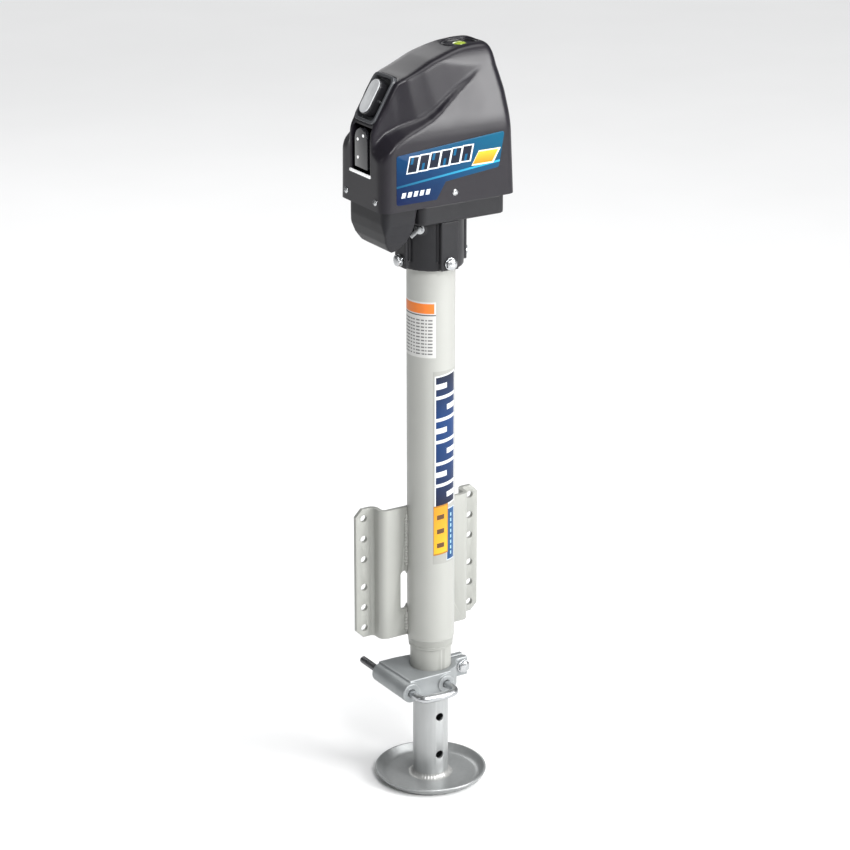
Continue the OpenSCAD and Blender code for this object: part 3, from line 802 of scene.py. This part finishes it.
def front_light():
    """Smoked lens with three lamps behind it, over a faintly glowing white bar that is a painted
    highlight of the ledge under the lens.
    """
    front = COVER[0][1]
    lens = arched("light_lens", 13.6, 785.4, 818, front + 0.8, front + 6.5)
    fitted(bevelled(lens, 0.8, 3), "light_lens")
    dots = []
    for across, height in ((6.5, 818), (-5.5, 824), (6.5, 797)):
        dot = added("light_leds", bpy.ops.mesh.primitive_uv_sphere_add, segments=20, ring_count=10,
                    radius=1.9 * MM, location=Vector((front + 0.9, across, height)) * MM)
        select(dot, "VERT", lambda at, normal: True)
        bpy.ops.transform.resize(value=(0.55, 1, 1),
                                 center_override=Vector((front + 0.9, 0, 0)) * MM)
        bpy.ops.object.mode_set(mode="OBJECT")
        dots.append(dot)
    fitted(joined(*dots), "light_leds")
    # Painted highlight: a white, faintly glowing bar where the ledge under the lens catches the light.
    bar = block("light_bar", (front - 1.5, -22.5, 778), (front + 1, 22.5, 781.5))
    fitted(bevelled(bar, 0.9, 3), "light_bar")


def level():
    """Bullseye level: an oval cup with the domed vial in it."""
    seat = (LEVEL_X, 0, COVER_TOP - 7)
    cup = moved(slab("level_cup", 43, 31, 15.4, 0, 5), seat)
    well = moved(slab("well", 38.5, 26.5, 13.2, 1.2, 12), seat)
    fitted(bevelled(cut(cup, well), 0.7, 3), "level_cup")
    low, high = size_of("level_vial")
    middle = (low + high) / 2
    dome = added("level_vial", bpy.ops.mesh.primitive_uv_sphere_add, segments=48, ring_count=24,
                 radius=9.4 * MM, location=Vector((middle.x, 0, low.z)) * MM)
    select(dome, "VERT", lambda at, normal: True)
    bpy.ops.transform.resize(value=(1, 1, 0.5), center_override=Vector((0, 0, low.z)) * MM)
    bpy.ops.mesh.bisect(plane_co=Vector((0, 0, low.z)) * MM, plane_no=(0, 0, 1), clear_inner=True,
                        use_fill=True)
    bpy.ops.object.mode_set(mode="OBJECT")
    fitted(dome, "level_vial")


def side_decals():
    """Film on both sides of the cover, with rounded corners and its slanted lower step."""
    outline = [*arc(-73, 753, 3, 180, 270), (-23, 750), (-11, 769.5), *arc(58, 779.5, 3, 280, 350),
               *arc(64.5, 815, 3, 0, 90), *arc(-73, 804.5, 3, 90, 180)]
    skin = COVER[0][3] - 0.05
    for side, node in ((-1, "side_decal_left"), (1, "side_decal_right")):
        film = extruded(node, outline, (0, side * 0.35, 0), lambda a, b: (a, side * skin, b))
        fitted(bevelled(film, 0.12, 2), node)


def gear_base():
    base = softened(bevelled(copied("gear_base"), 1.5), 1.3, 3)
    fitted(base, "gear_base", 50)


def front_housing():
    housing = softened(copied("front_housing"), 1.15, 6)
    fitted(housing, "front_housing", 50)


def neck():
    """Neck casting: a drum with four ribs, each with its pad round a bolt, and drawn-out edges."""
    body = copied("neck_collar")
    low = size_of("neck_collar")[0]
    grooves = []
    for rib in range(4):
        for side in (-1, 1):
            start = Vector((36.5, side * 13.2, low.z + 10))
            start.rotate(Matrix.Rotation(TURN / 4 * rib, 3, "Z"))
            grooves.append(drum("groove", start, (0, 0, 1), 2.2, 60, 16))
    cut(body, joined(*grooves))
    fitted(softened(body, 1.1, 3), "neck_collar", 50)


# ---------------------------------------------------------------- fasteners

NECK_BOLT_Z = 669
BOLT_SHANK = 3.95


def hex_head(name, start, axis, across, height, flange, bore=0):
    """A chamfered hex head on a washer face, or a nut when it has a bore."""
    head = drum(name, start, axis, across, height + 1.2, 6)
    centre = Vector(start) + Vector(axis).normalized() * (height + 1.2 - across * 1.75)
    ball = added("ball", bpy.ops.mesh.primitive_uv_sphere_add, segments=48, ring_count=32,
                 radius=across * 1.78 * MM, location=centre * MM)
    combine(head, ball, "INTERSECT")
    bevelled(head, 0.25, 2, 25)
    washer = bevelled(drum(name + "_washer", start, axis, flange, 1.2, 48), 0.3)
    if bore:
        for part in (head, washer):
            cut(part, drum("bore", Vector(start) - Vector(axis), axis, bore, height + 4, 40))
    return joined(head, washer)


def shank(name, start, axis, radius, length, pitch=1.25, deep=0.35):
    """Threaded shank: a cylinder whose rings swell and shrink with the thread."""
    axis = Vector(axis).normalized()
    turn = Vector((0, 0, 1)).rotation_difference(axis)
    rows = max(4, round(length / pitch * 6))

    def place(u, v):
        depth = deep * abs((v * length / pitch - u) % 1 - 0.5) * 2
        point = Vector(((radius - depth) * math.cos(u * TURN), (radius - depth) * math.sin(u * TURN),
                        v * length))
        point.rotate(turn)
        return point + Vector(start)

    return wrapped(name, 28, rows, place)


def neck_bolts():
    parts = []
    for quarter in range(4):
        out = Vector((math.cos(TURN / 4 * quarter), math.sin(TURN / 4 * quarter), 0))
        axis_point = Vector((0, 0, NECK_BOLT_Z))
        parts.append(hex_head("neck_bolts", out * 42 + axis_point, out, 7.0, 5.6, 7.3))
        parts.append(drum("shank", out * 26 + axis_point, out, BOLT_SHANK, 16.2, 32))
    fitted(joined(*parts), "neck_bolts")


def pan_screw(at, axis):
    """Low domed head with a cross recess."""
    axis = Vector(axis).normalized()
    head = added("cover_screws", bpy.ops.mesh.primitive_uv_sphere_add, segments=32, ring_count=24,
                 radius=5.2 * MM, location=(Vector(at) - axis * 3.0) * MM)
    keep = drum("keep", Vector(at) - axis * 0.8, axis, 3.9, 4)
    combine(head, keep, "INTERSECT")
    across = axis.cross(Vector((0, 0, 1))).normalized()
    for way in (across, Vector((0, 0, 1))):
        other = axis.cross(way)
        slot = block("slot", (-2.3, -0.45, -0.9), (2.3, 0.45, 1.2))
        turn = Matrix((way, other, axis)).transposed().to_4x4()
        slot.data.transform(Matrix.Translation((Vector(at) + axis * 1.8) * MM) @ turn)
        cut(head, slot)
    return head


def cover_screws():
    front, half = COVER[0][1], COVER[0][3]
    heads = [pan_screw((front, side * 32, 753), (-1, 0, 0)) for side in (-1, 1)]
    heads += [pan_screw((2, side * half, 755), (0, side, 0)) for side in (-1, 1)]
    fitted(joined(*heads), "cover_screws")


# ---------------------------------------------------------------- tube and bracket

TUBE_RADIUS = 28.575


def outer_tube():
    """Tube, and the swaged end with its rolled lip."""
    low, high = size_of("outer_tube")
    radius, wall = high.x, 2.9
    body = lathe("outer_tube", [(radius - wall, low.z), (radius - 0.4, low.z), (radius, low.z + 0.4),
                                (radius, high.z), (radius - wall, high.z)], 128)
    fitted(body, "outer_tube", 30)
    ring_low, ring_high = size_of("end_ring")
    inner = 25.4
    swage = [(inner, ring_low.z + 0.4), *arc(inner + 0.7, ring_low.z + 0.7, 0.7, 225, 340, 4),
             (inner + 1.5, ring_low.z + 3.2), (inner + 1.15, ring_low.z + 3.6),
             (inner + 1.6, ring_low.z + 4.0), (radius - 0.9, ring_high.z - 1.2),
             (radius - 0.4, ring_high.z), (inner, ring_high.z)]
    fitted(lathe("end_ring", swage, 128), "end_ring", 25)


def bracket_half(side, node):
    """Pressed bracket half: a bent plate with bolt holes, clipped corners and a weld window."""
    thick, bend = 5, 4.5
    web, wing = 10.5, 35.5
    near, wall, far = 20, 60, 86
    outer = bend + thick
    front_run = [(near, web), *arc(wall + thick / 2 - outer, web + outer, outer, 270, 360, 8)]
    front_run += [*reversed(arc(wall + thick / 2 + bend, wing - outer, bend, 90, 180, 8)),
                  (far, wing - thick)]
    back_run = [(far, wing), *arc(wall - thick / 2 + outer, wing - outer, outer, 90, 180, 8)]
    back_run += [*reversed(arc(wall - thick / 2 - bend, web + outer, bend, 270, 360, 8)),
                 (near, web + thick)]
    low, high = size_of(node)
    tall, middle = high.z - low.z, (low.z + high.z) / 2
    plate = extruded(node, [*front_run, *back_run], (0, 0, tall), lambda a, b: (a, b, low.z))
    tube = drum("tube", (0, 0, low.z - 5), (0, 0, 1), TUBE_RADIUS, tall + 10, 128)
    window = block("window", (20, 0, 230), (36, 22, 270))
    window_ends = [drum("end", (31, 0, z), (0, 1, 0), 5, 22, 40) for z in (230, 270)]
    first_hole, pitch = 18, 26.5
    holes = [drum("hole", (75, 25, middle + way * (first_hole + row * pitch)), (0, 1, 0), 4.5, 16, 48)
             for way in (-1, 1) for row in range(3)]
    cut(plate, tube, window, *window_ends, *holes)
    for way in (-1, 1):
        corner = block("corner", (-6.4, -12, -6.4), (6.4, 12, 6.4))
        corner.data.transform(Matrix.Rotation(TURN / 8, 4, "Y"))
        cut(plate, moved(corner, (far, wing, middle + way * tall / 2)))
    bevelled(plate, 0.7, 2, 40)
    if side < 0:
        activate(plate)
        plate.data.transform(Matrix.Scale(-1, 4, (1, 0, 0)))
        bpy.ops.object.mode_set(mode="EDIT")
        bpy.ops.mesh.select_all(action="SELECT")
        bpy.ops.mesh.normals_make_consistent(inside=False)
        bpy.ops.object.mode_set(mode="OBJECT")
    fitted(plate, node, 35)


def weld_runs():
    """Beads beside the tube: a string of overlapping ripples."""
    runs = []
    for side in (-1, 1):
        for start, length in ((278, 74), (194, 28)):
            def place(u, v, side=side, start=start, length=length):
                ripple = 1 + 0.12 * math.sin(v * length / 2.1 * TURN / 2)
                ends = min(1, 6 * v + 0.2, 6 * (1 - v) + 0.2)
                turn = u * TURN
                return (side * (27.6 + 3.1 * ripple * ends * math.cos(turn)),
                        10.4 + 2.9 * ripple * ends * math.sin(turn), start + v * length)

            runs.append(wrapped("bracket_welds", 16, round(length * 2), place))
    fitted(joined(*runs), "bracket_welds")


def tube_films():
    """Label and strip, a fifth of a millimetre proud of the tube with their edges turned down."""
    for node, start, end, low, high, finish in (("tube_label", 150, 250, 552, 620, None),
                                                ("tube_strip", 243, 315, 292, 535, STRIP_FILM)):
        def place(u, v, start=start, end=end, low=low, high=high):
            inward = min(u, 1 - u, v, 1 - v) < 0.001
            radius = TUBE_RADIUS + (0.02 if inward else 0.22)
            turn = math.radians(start + (end - start) * u)
            return radius * math.cos(turn), radius * math.sin(turn), low + (high - low) * v

        fitted(wrapped(node, 48, 24, place, closed=False), node, 60, finish)


# ---------------------------------------------------------------- ram, collar and pin

def hollow_tube(node, wall, holes):
    """An open tube with its lower rim rounded and its cross holes cut."""
    low, high = size_of(node)
    radius, edge = high.x, 0.5
    body = lathe(node, [(radius - wall, low.z + edge), (radius - wall + edge, low.z),
                        (radius - edge, low.z), (radius, low.z + edge), (radius, high.z),
                        (radius - wall, high.z)], 112)
    bevelled(cut(body, *holes), 0.35, 2, 50)
    fitted(body, node, 30)


def ram_and_leg():
    """The ram has one hole for the pull pin, and the leg a row of them right through."""
    first_hole, pitch = 35, 50.8
    pin_height = sum(corner.z for corner in size_of("pull_pin")) / 2
    hollow_tube("ram_tube", 2.8, [drum("hole", (0, -40, pin_height), (0, 1, 0), 4.8, 40, 48)])
    holes = [drum("hole", (0, -40, first_hole + pitch * row), (0, 1, 0), 5.25, 80, 48)
             for row in range(6)]
    hollow_tube("drop_leg", 3, holes)


def leg_collar():
    casting = softened(copied("leg_collar"), 0.85, 4)
    fitted(casting, "leg_collar", 50)


def pull_pin():
    """One round bar: a long guide leg, a bowed grip and the short locking leg."""
    low, high = size_of("pull_pin")
    level_z, radius, span = (low.z + high.z) / 2, 4.5, 50
    front = low.y + radius
    bow, bend = 3.0, 9
    tip, tail_start = -22.5, 38
    shoulder, reach = front + bend + bow, bend + bow * 0.4
    points = [(-span, tail_start + 1), (-span, 30), (-span, 0), (-span, shoulder)]
    points += [(-span + bend - bend * math.cos(t), shoulder - reach * math.sin(t))
               for t in map(math.radians, (25, 50, 75, 90))]
    points += [(-span + bend + (span - 2 * bend) * i / 8,
                front + bow * 0.6 - bow * 0.6 * math.sin(math.pi * i / 8)) for i in range(1, 8)]
    points += [(-bend + bend * math.sin(t), shoulder - reach * math.cos(t))
               for t in map(math.radians, (0, 15, 40, 65))]
    points += [(0, shoulder), (0, -35), (0, tip)]
    data = bpy.data.curves.new("pull_pin", "CURVE")
    data.dimensions = "3D"
    data.bevel_depth, data.bevel_resolution = radius * MM, 10
    data.use_fill_caps, data.resolution_u = True, 6
    spline = data.splines.new("NURBS")
    spline.points.add(len(points) - 1)
    for corner, (x, y) in zip(spline.points, points):
        corner.co = (x * MM, y * MM, level_z * MM, 1)
    spline.use_endpoint_u, spline.order_u = True, 3
    bar = bpy.data.objects.new("pull_pin", data)
    bpy.context.scene.collection.objects.link(bar)
    activate(bar)
    bpy.ops.object.convert(target="MESH")
    bar = bpy.context.object
    bar.name = "pull_pin"
    select(bar, "VERT", lambda at, normal: True)
    bpy.ops.mesh.remove_doubles(threshold=0.01 * MM)
    bpy.ops.mesh.normals_make_consistent(inside=False)
    bpy.ops.object.mode_set(mode="OBJECT")
    bevelled(bar, 0.9, 3, 60)
    tail = shank("tail", (-span, tail_start, level_z), (0, 1, 0), 4.45, high.y - tail_start, 2.4, 0.9)
    fitted(joined(bar, tail), "pull_pin", 45)


def pin_spring():
    """Return spring of the pull pin, copied from its node and left where it stands, hung on no body."""
    low, high = size_of("pin_spring")
    middle = (low + high) / 2
    ends = [Vector((middle.x, y, middle.z)) * MM for y in (low.y, high.y)]
    fitted(copied("pin_spring"), "pin_spring", 50, bend=("ram", "pin", *ends))


def clamp_fasteners():
    """Flanged bolt and nut that close the collar's clamp ear."""
    low, high = size_of("clamp_bolt")
    x, z = (low.x + high.x) / 2, (low.z + high.z) / 2
    head = hex_head("clamp_bolt", (x, -9.2, z), (0, -1, 0), 7.6, 5.2, 8.5)
    fitted(joined(head, shank("shank", (x, -9.2, z), (0, 1, 0), BOLT_SHANK, 28)), "clamp_bolt")
    fitted(hex_head("clamp_nut", (x, 9, z), (0, 1, 0), 7.5, 5.4, 7.0, bore=4.0), "clamp_nut")


def foot():
    """Pressed foot dish with a rolled rim, and the rippled weld that flares into it from the leg."""
    low, high = size_of("foot_plate")
    edge, top, thick = high.x, high.z, 4
    under = [(0.01, 0), (edge - 14.5, 0), *arc(edge - 14.5, 14, 14, 276, 318, 6),
             (edge - 1.6, top - 3.4)]
    rim = arc(edge - 1.7, top - 1.9, 1.7, -30, 150, 8)
    over = [*reversed(arc(edge - 14.5, 14, 14 - thick + 0.8, 270, 318, 6)), (edge - 26, thick),
            (edge - 40, thick), (0.01, thick)]
    fitted(lathe("foot_plate", [*under, *rim, *over], 128), "foot_plate", 40)
    low, high = size_of("foot_weld")
    leg = size_of("drop_leg")[1].x

    def place(u, v):
        turn = v * TURN / 4
        reach = 5.6 * (1 + 0.06 * math.sin(u * TURN * 38) + 0.04 * math.sin(u * TURN * 9))
        away = leg + 0.02 + reach * (1 - math.sin(turn))
        up = low.z + reach * (1 - math.cos(turn))
        return away * math.cos(u * TURN), away * math.sin(u * TURN), up

    fitted(wrapped("foot_weld", 336, 9, place, closed=False), "foot_weld", 60)


def earth_lug():
    lug = bevelled(copied("ground_lug"), 0.35, 2, 40)
    fitted(lug, "ground_lug")


def bush():
    """Rubber grommet of the supply lead, with a lip above and below."""
    low, high = size_of("wire_grommet")
    middle = (low + high) / 2
    outline = [(3.6, low.z + 0.6), *arc(4.6, low.z + 1, 1, 180, 270, 4),
               *arc(5.8, low.z + 1.2, 1.2, 270, 360, 4), (7, high.z - 1.4), (5.6, high.z - 1.2),
               (5.6, high.z), (3.6, high.z)]
    fitted(moved(lathe("wire_grommet", outline, 48), (middle.x, middle.y, 0)), "wire_grommet")


head_cover()
switch_panel()
front_light()
level()
side_decals()
gear_base()
front_housing()
neck()
neck_bolts()
cover_screws()
outer_tube()
bracket_half(-1, "bracket_left")
bracket_half(1, "bracket_right")
weld_runs()
tube_films()
ram_and_leg()
leg_collar()
pull_pin()
pin_spring()
clamp_fasteners()
foot()
earth_lug()
bush()

for part in frame["record"]["subparts"]:
    node = frame["nodes"][part["node"]]
    if not node.hide_render:
        node.data.materials.clear()
        node.data.materials.append(FINISH[part["material_slot"]])


# ---------------------------------------------------------------- floor, light and camera

# Place, width and power of each soft lamp, in metres and watts
LAMPS = {"key": ((1.75, -2.6, 1.5), 1.3, 96), "front": ((-0.7, -2.9, 2.6), 0.9, 72),
         "back": ((0.5, 2.6, 2.0), 1.2, 12), "left": ((-3.0, 0.4, 1.5), 0.6, 4)}


def lamp(name, kind, power, way):
    """A lamp that shines along a way."""
    light = bpy.data.objects.new(name, bpy.data.lights.new(name, kind))
    light.data.energy = power
    light.rotation_euler = way.to_track_quat("-Z", "Y").to_euler()
    bpy.context.scene.collection.objects.link(light)
    return light


def studio():
    """Pale floor, a dim even surround, one wide light from above and the soft lamps."""
    floor = added("floor", bpy.ops.mesh.primitive_grid_add, x_subdivisions=8, y_subdivisions=8, size=30)
    s = Shade("studio_floor")
    grain = s.noise(3, 2)
    floor.data.materials.append(s.finish(s.mix(grain, (0.86, 0.86, 0.86), (0.90, 0.90, 0.90)), 0.6))
    floor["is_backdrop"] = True
    world = bpy.data.worlds.new("studio_world")
    world.use_nodes = True
    back = world.node_tree.nodes["Background"]
    back.inputs["Color"].default_value = (0.96, 0.98, 1.0, 1)
    back.inputs["Strength"].default_value = 0.2
    bpy.context.scene.world = world
    bpy.context.scene.view_settings.view_transform = "Standard"
    lamp("sky", "SUN", 2.35, Vector((-0.25, 0.35, -1))).data.angle = math.radians(50)
    for name, (place, size, power) in LAMPS.items():
        light = lamp(name, "AREA", power, Vector((0, 0, 0.5)) - Vector(place))
        light.data.size, light.location = size, place


def camera():
    """Stands where the object is seen from its switch side, a little above the head."""
    low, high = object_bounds()
    middle = (low + high) / 2
    azimuth, away, height = math.radians(-32), 3.2, 1.63
    eye = Vector((math.sin(azimuth) * away, -math.cos(azimuth) * away, height))
    seat = bpy.data.objects.new("camera", bpy.data.cameras.new("camera"))
    seat.data.lens, seat.data.sensor_width = 122, 36
    seat.location = eye
    seat.rotation_euler = (middle - eye).to_track_quat("-Z", "Y").to_euler()
    bpy.context.scene.collection.objects.link(seat)
    bpy.context.scene.camera = seat


studio()
camera()
bpy.context.view_layer.update()
